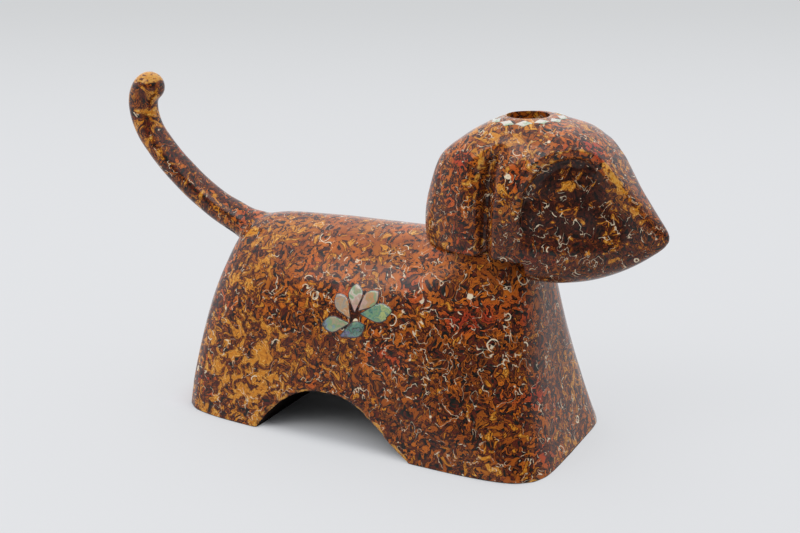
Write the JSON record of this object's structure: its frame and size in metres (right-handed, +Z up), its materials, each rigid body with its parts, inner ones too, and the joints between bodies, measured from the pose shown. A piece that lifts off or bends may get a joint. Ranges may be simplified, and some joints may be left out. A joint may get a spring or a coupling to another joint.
{
  "type": "decorative dog figure",
  "caption": "Free-standing lacquered wooden dog figure with an arched underside, upturned tail, a round hole in the crown and shell inlay on its flanks and crown.",
  "frame": {"origin": "centre of the bounding box's underside, on the surface that the feet stand on", "axes": "+X from tail to nose, +Y to the dog's left, +Z up"},
  "size_m": [0.3128, 0.104, 0.1718],
  "materials": {
    "body_lacquer": "polished many-coloured lacquer",
    "head_lacquer": "polished many-coloured lacquer",
    "tail_lacquer": "polished many-coloured lacquer",
    "dowel_wood": "bare turned wood",
    "petal_shell": "polished abalone shell",
    "crown_shell": "polished pearl shell"
  },
  "bodies": {
    "root": {"body": "body_lacquer", "head": "head_lacquer", "tail": "tail_lacquer", "neck_dowel": "dowel_wood", "tail_dowel": "dowel_wood", "right_front_petal": "petal_shell", "right_upper_front_petal": "petal_shell", "right_top_petal": "petal_shell", "right_upper_rear_petal": "petal_shell", "right_rear_petal": "petal_shell", "right_leaf": "petal_shell", "left_front_petal": "petal_shell", "left_upper_front_petal": "petal_shell", "left_top_petal": "petal_shell", "left_upper_rear_petal": "petal_shell", "left_rear_petal": "petal_shell", "left_leaf": "petal_shell", "crown_lozenge_1": "crown_shell", "crown_lozenge_2": "crown_shell", "crown_lozenge_3": "crown_shell", "crown_lozenge_4": "crown_shell", "crown_lozenge_5": "crown_shell", "crown_lozenge_6": "crown_shell", "crown_lozenge_7": "crown_shell", "crown_lozenge_8": "crown_shell", "crown_lozenge_9": "crown_shell", "crown_lozenge_10": "crown_shell", "crown_lozenge_11": "crown_shell", "crown_lozenge_12": "crown_shell"}
  },
  "joints": []
}
